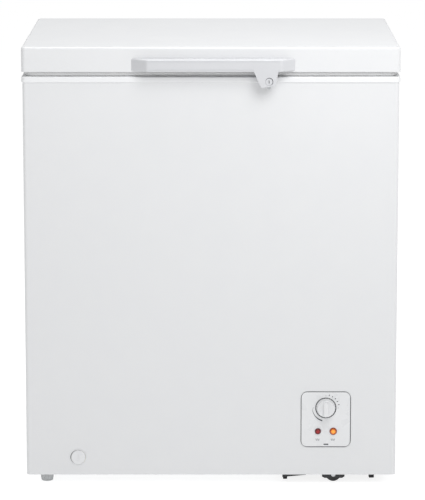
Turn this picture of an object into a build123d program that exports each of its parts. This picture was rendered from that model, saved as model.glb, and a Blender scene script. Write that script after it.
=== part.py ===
from build123d import *
import os
from math import cos, radians, sin

# A small chest freezer. +X is to the right, +Y to the back and +Z up, in millimetres.
# The origin is on the floor, under the middle of the whole freezer.

# ---------------------------------------------------------------- driving sizes
# overall
body_width = 712.0
body_depth = 520.0
total_height = 850.0
floor_gap = 20.0
lid_skirt = 47.0
seal_gap = 9.0
rim_height = 11.0
rim_proud = 2.0
handle_reach = 24.0
hinge_reach = 29.0

# sheets and insulation
gauge = 0.8
liner_gauge = 1.0
wall = 58.0
floor_wall = 62.0
body_corner = 6.0
lid_corner = 8.0
lid_edge = 4.5
flange = 18.0
fit = 0.1
moving_gap = 0.3

# tub
tub_corner = 20.0
tub_foot = 12.0
ledge = 8.0
ledge_drop = 21.0
rim_deck = 9.0
bay_width = 214.0
bay_height = 240.0
bay_wall = 55.0

# refrigeration
tray_gauge = 1.5
evaporator_radius = 4.0
evaporator_turns = 8
evaporator_rise = 35.0
evaporator_drop = 30.0
condenser_radius = 2.4
condenser_passes = 6
condenser_rise = 70.0
condenser_drop = 100.0
condenser_bend = 8.0
foam_gap = 0.2
capillary_radius = 1.5
compressor_radius = 70.0
compressor_height = 165.0
compressor_lift = 18.0
compressor_back = 165.0
foot_plate_x = 76.0
foot_plate_y = 84.0
grommet_x = 62.0
grommet_y = 70.0
pipe_rise = 60.0
drier_radius = 10.0
drier_length = 90.0
drier_in = 29.0
vent_width = 170.0
vent_height = 130.0
vent_rise = 120.0
cover_rise = 3.0
gland_in = 42.0
gland_rise = 36.0
screw_radius = 2.0
screw_bore = 2.1

# control panel
panel_width = 97.0
panel_height = 110.5
panel_corner = 12.0
panel_gap = 1.6
panel_in = 135.0
panel_z = 129.5
knob_rise = 22.7
knob_radius = 16.5
knob_skirt = 18.3
knob_well = 20.4
well_depth = 2.3
shaft_radius = 3.0
shaft_gap = 0.05
lamp_drop = 23.5
red_x = -15.0
amber_x = 14.5
red_radius = 6.0
amber_radius = 7.2

# drain
drain_in = 100.0
drain_z = 54.7
drain_cap = 14.0
drain_bore = 9.0
drain_pipe = 12.0
drain_set = 35.0

# feet and rollers
foot_in = 37.5
foot_set = 36.0
foot_back_set = 50.0
foot_top = 14.35
foot_bottom = 11.0
stud_radius = 5.0
roller_in = 119.0
roller_set = 31.0
roller_back_set = 60.0
roller_radius = 15.0
roller_width = 14.0
bracket_width = 44.0
axle_radius = 3.0

# handle and lock
handle_left = -150.0
handle_right = 159.0
taper_left = 30.0
taper_right = 25.0
handle_height = 22.2
handle_rise = 3.4
handle_wall = 3.5
tab_left = 81.0
tab_right = 127.0
tab_drop = 27.5
lock_x = 109.5
lock_drop = 16.0
lock_radius = 7.0
cam_reach = 16.0
cam_width = 7.0

# hinges
hinge_in = 101.0
pin_radius = 3.0
pin_back = 18.0
pin_drop = 3.0
lug_radius = 11.0
arm_radius = 8.0
arm_width = 30.0
cheek_gap = 3.0
nose_reach = 15.0
nose_radius = 4.0
channel_depth = 125.0
plate_gauge = 2.0
spring_radius = 7.5
spring_wire = 1.1
spring_turns = 9

# lid
lid_lip = 5.0
plug_gap = 14.0
plug_drop = 16.0
gasket_set = 6.0
gasket_width = 14.0

# basket
basket_width = 200.0
basket_height = 182.0
basket_wall = 4.0
basket_rim = 5.0

# ---------------------------------------------------------------- levels and planes
lid_bottom = total_height - lid_skirt
rim_top = lid_bottom - seal_gap
rim_bottom = rim_top - rim_height
deck_bottom = rim_top - rim_deck
body_bottom = floor_gap
panel_bottom = body_bottom + gauge + 0.2
foam_bottom = panel_bottom + gauge + fit
whole_depth = rim_proud + handle_reach + body_depth + hinge_reach
front = rim_proud + handle_reach - whole_depth / 2
back = front + body_depth
side = body_width / 2
inside = side - gauge - fit
lid_front = front - rim_proud
lid_back = back + rim_proud
lid_side = side + rim_proud
tub_side = side - wall
tub_front = front + wall
tub_back = back - wall
tub_floor = body_bottom + floor_wall
ledge_z = rim_top - ledge_drop
bay_left = side - gauge - bay_width
bay_roof = body_bottom + bay_height
step_wall = bay_left - bay_wall
step_floor = bay_roof + wall
tray_left = bay_left - 3
tray_top = panel_bottom + tray_gauge
liner_top = deck_bottom - fit
compressor_x = side - gauge - bay_width / 2
compressor_y = back - compressor_back
compressor_bottom = tray_top + compressor_lift
condenser_x = inside - condenser_radius
condenser_y = front + gauge + fit + condenser_radius
condenser_low = bay_roof + condenser_rise
riser_y = back - 40
return_y = back - 16
coil_side = tub_side + liner_gauge + fit + evaporator_radius
coil_front = tub_front - liner_gauge - fit - evaporator_radius
coil_back = tub_back + liner_gauge + fit + evaporator_radius
coil_low = step_floor + evaporator_rise
evaporator_pitch = (ledge_z - evaporator_drop - coil_low) / (evaporator_turns - 0.5)
condenser_pitch = (rim_bottom - condenser_drop - condenser_low) / (condenser_passes - 1)
coil_top = coil_low + (evaporator_turns - 1) * evaporator_pitch
coil_end_z = coil_top + evaporator_pitch / 2
suction_y = tub_back - 40
capillary_x = coil_side + 19
capillary_y = coil_back + 17
roof_top = bay_roof + gauge + 0.7
panel_x = side - panel_in
knob_z = panel_z + knob_rise
lamp_z = panel_z - lamp_drop
panel_back = front + gauge + 2.4
drain_x = drain_in - side
drain_y = tub_front + drain_set
foot_x = foot_in - side
roller_x = side - roller_in
foot_ys = (front + foot_set, back - foot_back_set)
roller_ys = (front + roller_set, back - roller_back_set)
handle_bottom = lid_bottom + handle_rise
handle_top = handle_bottom + handle_height
handle_front = lid_front - handle_reach
lock_z = lid_bottom - lock_drop
pin_y = back + pin_back
pin_z = lid_bottom - pin_drop
hinge_back = back + hinge_reach
channel_top = rim_bottom - 5
channel_bottom = channel_top - channel_depth
plunger_top = pin_z - nose_reach - moving_gap
plunger_neck = plunger_top - 14
basket_right = tub_side - 4
basket_left = basket_right - basket_width
handle_screw_xs = (handle_left + 60, handle_right - 60)
hinge_xs = {"left": hinge_in - side, "right": side - hinge_in}
vent_y = compressor_y - compressor_radius - vent_width / 2 - 40
vent_z = body_bottom + vent_rise
cover_x0 = bay_left + 1
cover_x1 = side - gauge - 2
cover_z0 = body_bottom + cover_rise
cover_z1 = bay_roof - 1
gland_x = bay_left + gland_in
gland_z = body_bottom + gland_rise


# ---------------------------------------------------------------- shapes used all over
def block(x0, x1, y0, y1, z0, z1):
    """A box between two opposite corners."""
    centre = Pos((x0 + x1) / 2, (y0 + y1) / 2, (z0 + z1) / 2)
    return centre * Box(x1 - x0, y1 - y0, z1 - z0)


def post(x0, x1, y0, y1, z0, z1, radius):
    """A block whose four upright edges are rounded."""
    outline = Pos((x0 + x1) / 2, (y0 + y1) / 2, z0) * RectangleRounded(x1 - x0, y1 - y0, radius)
    return extrude(outline, amount=z1 - z0)


def front_plate(x, z, width, height, radius, y0, y1):
    """A plate with rounded corners that faces the front, between two depths."""
    face = Plane(origin=(x, y1, z), x_dir=(1, 0, 0), z_dir=(0, -1, 0))
    return extrude(face * RectangleRounded(width, height, radius), amount=y1 - y0)


def rod(start, end, radius):
    """A round bar from one point to another."""
    along = Vector(*end) - Vector(*start)
    plane = Plane(origin=start, z_dir=along)
    upright = (Align.CENTER, Align.CENTER, Align.MIN)
    return plane * Cylinder(radius, along.length, align=upright)


def tube(points, bend, radius):
    """A round tube along straight runs joined by equal bends."""
    path = FilletPolyline(*points, radius=bend)
    section = Plane(origin=path @ 0, z_dir=path % 0) * Circle(radius)
    return sweep(section, path=path)


def body_form(inset, z0, z1):
    """The cabinet's outline, set in from its outer faces."""
    corner = body_corner - inset
    return post(-side + inset, side - inset, front + inset, back - inset, z0, z1, corner)


def lid_form(inset, z0, z1):
    """The lid's outline with a rounded top edge, set in from its outer faces."""
    corner = lid_corner - inset
    form = post(-lid_side + inset, lid_side - inset, lid_front + inset, lid_back - inset, z0, z1, corner)
    return fillet(form.edges().group_by(Axis.Z)[-1], lid_edge - inset)


def tub_form(grow, top):
    """The tub's space with its step and ledge, grown outwards by one thickness."""
    y0 = tub_front - grow
    y1 = tub_back + grow
    corner = tub_corner + grow
    low = post(-tub_side - grow, step_wall + grow, y0, y1, tub_floor - grow, top, corner)
    high = post(-tub_side - grow, tub_side + grow, y0, y1, step_floor - grow, top, corner)
    low = fillet(low.edges().group_by(Axis.Z)[0], tub_foot + grow)
    high = fillet(high.edges().group_by(Axis.Z)[0], tub_foot + grow)
    across = tub_side + ledge + grow
    mouth = post(-across, across, y0 - ledge, y1 + ledge, ledge_z - grow, top, corner)
    return low + high + mouth


def grid(count, pitch, centre=0.0):
    """Evenly spaced places about a centre."""
    return [centre + (i - (count - 1) / 2) * pitch for i in range(count)]


# ---------------------------------------------------------------- cabinet sheets
def outer_shell():
    """Front and both sides bent from one sheet, with the bottom edge turned in."""
    top = deck_bottom - fit
    wrap = body_form(0, body_bottom, top) - body_form(gauge, body_bottom - 1, top + 1)
    wrap -= block(-side + gauge, side - gauge, back - 2 * body_corner, back + 1, 0, total_height)
    wrap -= block(-side - 1, side + 1, back - body_corner, back + 1, 0, total_height)
    for x in (-side, side - gauge):
        wrap += block(x, x + gauge, back - 2 * body_corner, back, body_bottom, top)
    lip = body_form(0.01, body_bottom, body_bottom + gauge)
    lip -= block(-side + flange, side - flange, front + flange, back + 1, 0, total_height)
    wrap += lip
    wrap -= front_plate(panel_x, panel_z, panel_width, panel_height, panel_corner, front - 1, front + 2)
    wrap -= rod((drain_x, front - 1, drain_z), (drain_x, front + 2, drain_z), drain_cap + 1.6)
    y0, y1 = vent_y - vent_width / 2, vent_y + vent_width / 2
    wrap -= block(side - 2, side + 1, y0, y1, vent_z - vent_height / 2, vent_z + vent_height / 2)
    return wrap


def rear_screws():
    """Places of the screws in the back: each hinge base and the rear cover."""
    places = []
    for x in hinge_xs.values():
        for z in (channel_bottom + 30, channel_top - 25):
            places += [(x - 11, z), (x + 11, z)]
    return places


def rear_panel():
    """Flat back sheet with pressed stiffening beads and the opening of the compressor bay."""
    sheet = block(-inside, inside, back - gauge, back, panel_bottom, deck_bottom - fit)
    for z in grid(3, 0.3 * (channel_bottom - bay_roof), (bay_roof + channel_bottom) / 2):
        sheet += front_plate(0, z, 2 * side - 120, 12, 5.9, back - 0.01, back + 1.2)
    sheet -= block(bay_left + 8, side - gauge - 8, back - 2, back + 2, body_bottom - 1, bay_roof - 8)
    for x, z in rear_screws() + cover_screws():
        sheet -= rod((x, back - 2, z), (x, back + 1, z), screw_bore)
    return sheet


def bottom_panel():
    """Sheet under the foam, left of the compressor bay."""
    sheet = block(-inside, tray_left - 0.5, front + gauge + fit, back - gauge - fit, panel_bottom,
                  panel_bottom + gauge)
    for y in foot_ys:
        sheet -= rod((foot_x, y, 0), (foot_x, y, 60), stud_radius + 1.5)
    return sheet & body_form(gauge + fit, 0, total_height)


def step_panel():
    """Bent sheet that closes the compressor bay off from the foam."""
    y0, y1 = front + gauge + fit, back - gauge - fit
    sheet = block(bay_left, bay_left + gauge, y0, y1, tray_top + fit, bay_roof + gauge)
    sheet += block(bay_left, inside, y0, y1, bay_roof, bay_roof + gauge)
    for x, y, radius in roof_holes():
        sheet -= rod((x, y, bay_roof - 1), (x, y, bay_roof + 2), radius)
    return sheet & body_form(gauge + fit, 0, total_height)


def roof_holes():
    """Where the tubes pass the roof of the bay."""
    return [
        (condenser_x, riser_y, condenser_radius + 0.6),
        (condenser_x, return_y, condenser_radius + 0.6),
        (coil_side, suction_y, evaporator_radius + 1),
        (capillary_x, capillary_y, capillary_radius + 1),
    ]


def evaporator_levels():
    """Heights of the evaporator's turns."""
    return [coil_low + i * evaporator_pitch for i in range(evaporator_turns)]


def condenser_levels():
    """Heights of the condenser's passes."""
    return [condenser_low + i * condenser_pitch for i in range(condenser_passes)]


def body_foam():
    """Insulation that fills the cabinet round the tub, channelled for tubes and sockets."""
    room = gauge + fit
    foam = body_form(room, foam_bottom, liner_top - liner_gauge - fit)
    foam -= tub_form(liner_gauge + fit, total_height)
    foam -= block(bay_left - fit, side, front, back, 0, bay_roof + gauge + fit)
    foam -= block(tray_left - 1, side, front, back, 0, tray_top + fit)
    foam -= tube(evaporator_route(), tub_corner, evaporator_radius + foam_gap)
    for x, y, radius in roof_holes():
        foam -= rod((x, y, bay_roof), (x, y, roof_top + 1), radius)
    foam -= tube(condenser_route(), condenser_bend, condenser_radius + foam_gap)
    foam -= rod((capillary_x, capillary_y, bay_roof), (capillary_x, capillary_y, coil_end_z + 4), 3)
    foam -= block(coil_side - 16, capillary_x + 3, coil_back - 3, capillary_y + 3, coil_end_z - 5, coil_end_z + 5)
    foam -= drain_form(drain_pipe + 0.5)
    for y in foot_ys:
        foam -= block(foot_x - 27, foot_x + 27, y - 27, y + 27, foam_bottom - 1, foam_bottom + 30)
    for x, z in rear_screws():
        foam -= rod((x, back - 16, z), (x, back, z), screw_bore)
    return foam


def inner_liner():
    """Aluminium tub with a step, a basket ledge and a top flange under the collar."""
    across = tub_side + ledge + 14
    lip = post(-across, across, tub_front - ledge - 14, tub_back + ledge + 14, liner_top - liner_gauge,
               liner_top, tub_corner + 14)
    liner = tub_form(liner_gauge, liner_top) + lip
    liner -= tub_form(0, total_height)
    liner -= rod((drain_x, drain_y, tub_floor - 5), (drain_x, drain_y, tub_floor + 5), drain_bore)
    return liner


def top_frame():
    """Moulded collar over the top edges of shell and tub, which the gasket seats on."""
    outer = post(-lid_side, lid_side, lid_front, lid_back, rim_bottom, rim_top, lid_corner)
    outer = fillet(outer.edges().group_by(Axis.Z)[-1], 2.5)
    outer = chamfer(outer.edges().group_by(Axis.Z)[0], 0.6)
    across = tub_side + ledge
    collar = outer - post(-across, across, tub_front - ledge, tub_back + ledge, 0, total_height, tub_corner)
    collar -= post(-side - fit, side + fit, front - fit, back + fit, 0, deck_bottom, body_corner + fit)
    return collar - block(-side - fit, side + fit, back - body_corner - 1, back + fit, 0, deck_bottom)


# ---------------------------------------------------------------- refrigeration
def evaporator_route():
    """Corners of the evaporator: round the tub, rising to the next turn along the back."""
    points = [(coil_side, suction_y, roof_top), (coil_side, suction_y, coil_low)]
    for z in evaporator_levels():
        points += [(coil_side, coil_front, z), (-coil_side, coil_front, z), (-coil_side, coil_back, z)]
        if z < coil_top:
            points += [(coil_side, coil_back, z + evaporator_pitch)]
    return points + [(tub_side - 10, coil_back, coil_end_z)]


def evaporator_coil():
    """Tube wound round the tub."""
    return tube(evaporator_route(), tub_corner, evaporator_radius)


def condenser_route():
    """Corners of the condenser: passes along both sides and the front that turn back at the rear."""
    levels = condenser_levels()
    points = [(condenser_x, riser_y, roof_top)]
    for i, z in enumerate(levels):
        turn = condenser_x if i % 2 == 0 else -condenser_x
        points += [(turn, riser_y, z), (turn, condenser_y, z), (-turn, condenser_y, z), (-turn, riser_y, z)]
    points = points[:-1]
    return points + [(condenser_x, return_y, levels[-1]), (condenser_x, return_y, roof_top)]


def condenser_coil():
    """Tube bonded inside the sides and front of the shell."""
    return tube(condenser_route(), condenser_bend, condenser_radius)


def grommet_places():
    """Corners of the compressor's foot plate."""
    return [(compressor_x + i * grommet_x, compressor_y + j * grommet_y) for i in (-1, 1) for j in (-1, 1)]


def compressor_tray():
    """Black steel base of the bay, with a lip that tapers off along the front edge."""
    y0 = front + gauge + fit
    tray = block(tray_left, side - gauge - fit, y0, back - gauge - fit, panel_bottom, tray_top)
    for y in roller_ys:
        tray -= block(roller_x - 17.5, roller_x + 17.5, y - 9.5, y + 9.5, 0, 60)
    for x, y in grommet_places():
        tray -= rod((x, y, 0), (x, y, 60), 3.3)
    lip_y = y0 + flange + 1
    right = tray_left + 46
    outline = Polyline((tray_left, tray_top), (tray_left, body_bottom - 10.4), (right, body_bottom - 6),
                       (right, tray_top), close=True)
    face = Plane(origin=(0, lip_y + tray_gauge, 0), x_dir=(1, 0, 0), z_dir=(0, -1, 0))
    tray += extrude(face * make_face(outline), amount=tray_gauge)
    return tray & body_form(gauge + fit, 0, total_height)


def tray_stops():
    """Two black blocks that hang under the front edge of the tray."""
    y0 = front + flange + 4
    left = block(tray_left + 1.5, tray_left + 9.5, y0, y0 + 12, 5, panel_bottom)
    right = block(side - 50, side - 40, y0, y0 + 12, 7.5, panel_bottom)
    return [chamfer(stop.edges().group_by(Axis.Z)[0], 1) for stop in (left, right)]


def compressor_shell():
    """Welded steel dome with its seam, foot plate and two pipe stubs."""
    x, y, z = compressor_x, compressor_y, compressor_bottom
    upright = (Align.CENTER, Align.CENTER, Align.MIN)
    dome = Pos(x, y, z) * Cylinder(compressor_radius, compressor_height, align=upright)
    dome = fillet(dome.edges().group_by(Axis.Z)[-1], 38)
    dome = fillet(dome.edges().group_by(Axis.Z)[0], 20)
    dome += Pos(x, y, z + 78) * Cylinder(compressor_radius + 3.5, 5, align=upright)
    dome += post(x - foot_plate_x, x + foot_plate_x, y - foot_plate_y, y + foot_plate_y, z, z + 3, 12)
    inner, outer, level = compressor_radius - 8, compressor_radius + 12, z + pipe_rise
    dome += rod((x + inner, y, level), (x + outer, y, level), 4)
    dome += rod((x, y + inner, level), (x, y + outer, level), 5.5)
    for px, py in grommet_places():
        dome -= rod((px, py, z - 1), (px, py, z + 4), 5)
    return dome


def compressor_cover():
    """Plastic cover of the starter, clipped to the compressor's front."""
    x, y, z = compressor_x, compressor_y, compressor_bottom
    cover = post(x - 36, x + 36, y - compressor_radius - 34, y - 20, z + 12, z + 72, 6)
    return cover - rod((x, y, z - 1), (x, y, z + 90), compressor_radius + fit)


def compressor_grommets():
    """Rubber mounts between the tray and the foot plate."""
    z0, z1 = tray_top, compressor_bottom
    return [rod((x, y, z0), (x, y, z1), 12) - rod((x, y, z0 - 1), (x, y, z1 + 1), 4)
            for x, y in grommet_places()]


def compressor_bolts():
    """Bolts up through the tray, the mounts and the foot plate."""
    bolts = []
    for x, y in grommet_places():
        bolt = rod((x, y, tray_top - 1), (x, y, compressor_bottom + 12), 3)
        bolts += [bolt + rod((x, y, compressor_bottom + 3), (x, y, compressor_bottom + 9), 7)]
    return bolts


def discharge_tube():
    """Hot gas tube from the compressor to the condenser."""
    x0, y0, z0 = compressor_x + compressor_radius + 12, compressor_y, compressor_bottom + pipe_rise
    points = [(x0, y0, z0), (condenser_x, y0, z0), (condenser_x, y0, bay_roof - 30),
              (condenser_x, riser_y, bay_roof - 30), (condenser_x, riser_y, roof_top)]
    return tube(points, 9, condenser_radius)


def suction_tube():
    """Return tube from the evaporator to the compressor."""
    x0, y0, z0 = compressor_x, compressor_y + compressor_radius + 12, compressor_bottom + pipe_rise
    turn = y0 + 28
    points = [(x0, y0, z0), (x0, turn, z0), (coil_side, turn, z0), (coil_side, turn, bay_roof - 32),
              (coil_side, suction_y, bay_roof - 32), (coil_side, suction_y, roof_top)]
    return tube(points, 11, evaporator_radius)


def filter_drier():
    """Copper drier with the liquid tube that feeds it."""
    x, top = bay_left + drier_in, bay_roof - 38
    drier = rod((x, return_y, top - drier_length), (x, return_y, top), drier_radius)
    drier = chamfer(drier.edges(), 5)
    drier += rod((x, return_y, top - drier_length - 6), (x, return_y, top - drier_length + 1), 3)
    points = [(x, return_y, top - 1), (x, return_y, bay_roof - 14), (condenser_x, return_y, bay_roof - 14),
              (condenser_x, return_y, roof_top)]
    return drier + tube(points, 7, condenser_radius)


def capillary_tube():
    """Fine tube from the drier up the back corner to the top turn of the evaporator."""
    x, z = bay_left + drier_in, bay_roof - 44 - drier_length
    points = [(x, return_y, z), (x, return_y, z - 28), (x, capillary_y, z - 28),
              (capillary_x, capillary_y, z - 28), (capillary_x, capillary_y, coil_end_z),
              (capillary_x, coil_back, coil_end_z), (tub_side - 9.5, coil_back, coil_end_z)]
    return tube(points, 7, capillary_radius)


def vent_grille():
    """Louvred moulding in the right side, over the compressor bay."""
    half_y, half_z = vent_width / 2, vent_height / 2
    grille = block(side + 0.05, side + 1.7, vent_y - half_y - 7, vent_y + half_y + 7, vent_z - half_z - 7,
                   vent_z + half_z + 7)
    grille = chamfer(grille.edges().group_by(Axis.X)[-1], 0.8)
    grille += block(side - 5, side + 0.06, vent_y - half_y + 0.3, vent_y + half_y - 0.3,
                    vent_z - half_z + 0.3, vent_z + half_z - 0.3)
    for z in grid(9, 13, vent_z):
        for y in grid(2, 80, vent_y):
            grille -= block(side - 6, side + 3, y - 36, y + 36, z - 3.2, z + 3.2)
    return grille


def rear_cover():
    """Slotted steel cover over the back of the compressor bay."""
    middle = (cover_x0 + cover_x1) / 2
    cover = front_plate(middle, (cover_z0 + cover_z1) / 2, cover_x1 - cover_x0, cover_z1 - cover_z0, 6,
                        back + fit, back + fit + 1.2)
    for z in grid(11, 14, (cover_z0 + cover_z1) / 2 + 24):
        for x in grid(2, 90, middle):
            cover -= front_plate(x, z, 74, 5, 2.4, back - 1, back + 3)
    cover -= rod((gland_x, back - 2, gland_z), (gland_x, back + 4, gland_z), 9.1)
    for x, z in cover_screws():
        cover -= rod((x, back - 2, z), (x, back + 4, z), screw_bore)
    return cover


def cover_screws():
    """Places of the rear cover's screws, in its two side edges."""
    return [(x, z) for x in (cover_x0 + 3.4, cover_x1 - 3.4) for z in (cover_z0 + 20, cover_z1 - 20)]


def cord_gland():
    """Moulded bush where a mains lead would enter."""
    y0 = back + fit + 1.2
    gland = rod((gland_x, y0, gland_z), (gland_x, y0 + 4, gland_z), 12.5)
    gland = chamfer(gland.edges().group_by(Axis.Y)[-1], 1)
    gland += rod((gland_x, back - 3, gland_z), (gland_x, y0 + 1, gland_z), 9)
    gland += rod((gland_x, y0 + 3, gland_z), (gland_x, y0 + 12, gland_z), 7)
    return gland - rod((gland_x, back - 9, gland_z), (gland_x, y0 + 20, gland_z), 3.6)


# ---------------------------------------------------------------- control panel
def control_bezel():
    """Moulded panel in its cut-out, with a well for the knob and holes for the lamps."""
    face = front_plate(panel_x, panel_z, panel_width - 2 * panel_gap, panel_height - 2 * panel_gap,
                       panel_corner - panel_gap, front - 0.5, panel_back)
    face = fillet(face.edges().group_by(Axis.Y)[0], 0.9)
    face += front_plate(panel_x, panel_z, panel_width + 12, panel_height + 12, panel_corner + 6,
                        front + gauge + fit, panel_back)
    face -= rod((panel_x, front - 2, knob_z), (panel_x, front + well_depth, knob_z), knob_well)
    face -= rod((panel_x, front - 2, knob_z), (panel_x, front + 9, knob_z), 4.8)
    for x, radius in ((red_x, red_radius), (amber_x, amber_radius)):
        face -= rod((panel_x + x, front - 2, lamp_z), (panel_x + x, front + 9, lamp_z), radius + 0.15)
    return face


def thermostat_body():
    """Switch housing behind the panel, with the neck that carries its shaft."""
    y0 = panel_back + 1.8
    body = block(panel_x - 24, panel_x + 24, y0, y0 + 34, knob_z - 18, knob_z + 18)
    body = fillet(body.edges().filter_by(Axis.Y), 3)
    body += rod((panel_x, front + 1.6, knob_z), (panel_x, y0 + 1, knob_z), 4.6)
    return body - rod((panel_x, front - 1, knob_z), (panel_x, y0 + 26, knob_z), shaft_radius + shaft_gap)


def thermostat_shaft():
    """Brass shaft that the knob is pushed onto."""
    return rod((panel_x, front - 10, knob_z), (panel_x, panel_back + 26, knob_z), shaft_radius)


def control_knob():
    """Knob with a skirt in the well and a raised grip across it."""
    knob = rod((panel_x, front - 11, knob_z), (panel_x, front - 0.5, knob_z), knob_radius)
    knob = fillet(knob.edges().group_by(Axis.Y)[0], 2)
    skirt = rod((panel_x, front - 1.2, knob_z), (panel_x, front + 1.0, knob_z), knob_skirt)
    knob += chamfer(skirt.edges().group_by(Axis.Y)[0], 0.7)
    grip = front_plate(panel_x, knob_z, 9, 27, 2.5, front - 18, front - 10)
    knob += fillet(grip.edges().group_by(Axis.Y)[0], 1.5)
    return knob - rod((panel_x, front - 10, knob_z), (panel_x, front + 9, knob_z), shaft_radius)


def lamp(x, radius):
    """Clear lens of an indicator lamp, domed in front."""
    lens = rod((panel_x + x, front - 3.4, lamp_z), (panel_x + x, panel_back + 0.2, lamp_z), radius)
    return fillet(lens.edges().group_by(Axis.Y)[0], radius * 0.5)


def lamp_holders():
    """Bulb holders behind the two lenses."""
    y0 = panel_back + 0.3
    return [rod((panel_x + x, y0, lamp_z), (panel_x + x, y0 + 20, lamp_z), radius + 0.8)
            for x, radius in ((red_x, red_radius), (amber_x, amber_radius))]


# ---------------------------------------------------------------- drain
def drain_form(radius):
    """Elbow from under the tub's floor to the front."""
    elbow = (drain_x, drain_y, drain_z)
    upright = rod(elbow, (drain_x, drain_y, tub_floor - liner_gauge - fit), radius)
    level = rod((drain_x, front + gauge + fit, drain_z), elbow, radius)
    return upright + level + Pos(*elbow) * Sphere(radius)


def drain_tube():
    """Elbow pipe, bored wider at the front for the spout."""
    pipe = drain_form(drain_pipe)
    elbow = (drain_x, drain_y, drain_z)
    pipe -= rod(elbow, (drain_x, drain_y, tub_floor), drain_bore)
    pipe -= Pos(*elbow) * Sphere(drain_bore)
    pipe -= rod((drain_x, front, drain_z), elbow, drain_bore)
    return pipe - rod((drain_x, front, drain_z), (drain_x, front + 45, drain_z), drain_bore + 1)


def drain_escutcheon():
    """Ring pressed into the front round the drain cap."""
    ring = rod((drain_x, front - 0.8, drain_z), (drain_x, front, drain_z), drain_cap + 2.6)
    ring = fillet(ring.edges().group_by(Axis.Y)[0], 0.5)
    ring += rod((drain_x, front - 0.1, drain_z), (drain_x, front + gauge, drain_z), drain_cap + 1.4)
    return ring - rod((drain_x, front - 2, drain_z), (drain_x, front + 5, drain_z), drain_cap + 0.5)


def drain_spout():
    """Tube that pulls out of the drain pipe."""
    outer, inner = drain_bore + 1 - moving_gap, drain_bore - 1.5
    spout = rod((drain_x, front + 1.2, drain_z), (drain_x, front + 43, drain_z), outer)
    return spout - rod((drain_x, front, drain_z), (drain_x, front + 50, drain_z), inner)


def drain_dial():
    """Cap that turns on the spout to open its outlet."""
    cap = rod((drain_x, front - 3, drain_z), (drain_x, front + 0.9, drain_z), drain_cap)
    cap = fillet(cap.edges().group_by(Axis.Y)[0], 1.6)
    cap -= front_plate(drain_x, drain_z, 3, 14, 1.4, front - 4, front - 2.2)
    return cap + rod((drain_x, front + 0.8, drain_z), (drain_x, front + 16, drain_z), drain_bore - 1.56)


def drain_plug():
    """Push-in plug in the tub's floor, with a pull ring."""
    top = tub_floor + moving_gap
    plug = rod((drain_x, drain_y, top - 8), (drain_x, drain_y, top + 1), drain_bore - moving_gap)
    flat = rod((drain_x, drain_y, top), (drain_x, drain_y, top + 3), drain_bore + 5)
    plug += fillet(flat.edges().group_by(Axis.Z)[-1], 1)
    return plug + fillet(post(drain_x - 9, drain_x + 9, drain_y - 2, drain_y + 2, top + 2, top + 12, 1.9)
                         .edges().group_by(Axis.Z)[-1], 1.2)


# ---------------------------------------------------------------- feet and rollers
def foot_sockets():
    """Plates with threaded bosses over the bottom panel, one for each left foot."""
    z0 = panel_bottom + gauge
    sockets = []
    for y in foot_ys:
        socket = post(foot_x - 25, foot_x + 25, y - 25, y + 25, z0, z0 + 2.5, 5)
        socket += rod((foot_x, y, z0), (foot_x, y, z0 + 26), stud_radius + 4)
        sockets += [socket - rod((foot_x, y, 0), (foot_x, y, z0 + 24), stud_radius)]
    return sockets


def levelling_foot(y):
    """Ribbed cone with a threaded stud."""
    top = body_bottom - 0.6
    upright = (Align.CENTER, Align.CENTER, Align.MIN)
    foot = Pos(foot_x, y, 0) * Cone(foot_bottom, foot_top, top, align=upright)
    foot = chamfer(foot.edges().group_by(Axis.Z)[0], 0.8)
    for i in range(18):
        turn = radians(20 * i)
        low = (foot_x + (foot_bottom + 1.0) * cos(turn), y + (foot_bottom + 1.0) * sin(turn), 2.5)
        high = (foot_x + (foot_top + 0.9) * cos(turn), y + (foot_top + 0.9) * sin(turn), top + 2)
        foot -= rod(low, high, 1.3)
    return foot + rod((foot_x, y, top - 1), (foot_x, y, top + 22), stud_radius - shaft_gap)


def roller_bracket(y):
    """Pressed fork under the tray: a slotted top with two tapered cheeks."""
    z1 = panel_bottom - fit
    half = roller_width / 2 + 1.5
    across = bracket_width / 2
    fork = block(roller_x - across, roller_x + across, y - half - 1.5, y + half + 1.5, z1 - 1.8, z1)
    fork -= block(roller_x - 17.5, roller_x + 17.5, y - half, y + half, 0, 60)
    outline = Polyline((-across, z1), (-across, z1 - 10.5), (-across + 5, z1 - 13.4), (across - 5, z1 - 13.4),
                       (across, z1 - 10.5), (across, z1), close=True)
    for cheek in (y - half, y + half + 1.5):
        face = Plane(origin=(roller_x, cheek, 0), x_dir=(1, 0, 0), z_dir=(0, -1, 0))
        fork += extrude(face * make_face(outline), amount=1.5)
    return fork - rod((roller_x, y - 20, roller_radius), (roller_x, y + 20, roller_radius), axle_radius)


def roller_axles():
    """Riveted axle of each roller."""
    reach = roller_width / 2 + 3
    axles = []
    for y in roller_ys:
        axle = rod((roller_x, y - reach - 1.6, roller_radius), (roller_x, y + reach + 1.6, roller_radius),
                   axle_radius)
        for end in (-1, 1):
            inner, outer = y + end * (reach + 0.1), y + end * (reach + 1.6)
            axle += rod((roller_x, inner, roller_radius), (roller_x, outer, roller_radius), axle_radius + 1.5)
        axles += [axle]
    return axles


def roller_wheel(y):
    """Hard wheel with a hub on each side."""
    half = roller_width / 2
    wheel = rod((roller_x, y - half + 0.5, roller_radius), (roller_x, y + half - 0.5, roller_radius),
                roller_radius)
    wheel = fillet(wheel.edges(), 2)
    wheel += rod((roller_x, y - half - 0.9, roller_radius), (roller_x, y + half + 0.9, roller_radius), 6)
    bore = axle_radius + shaft_gap
    return wheel - rod((roller_x, y - 20, roller_radius), (roller_x, y + 20, roller_radius), bore)


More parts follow.
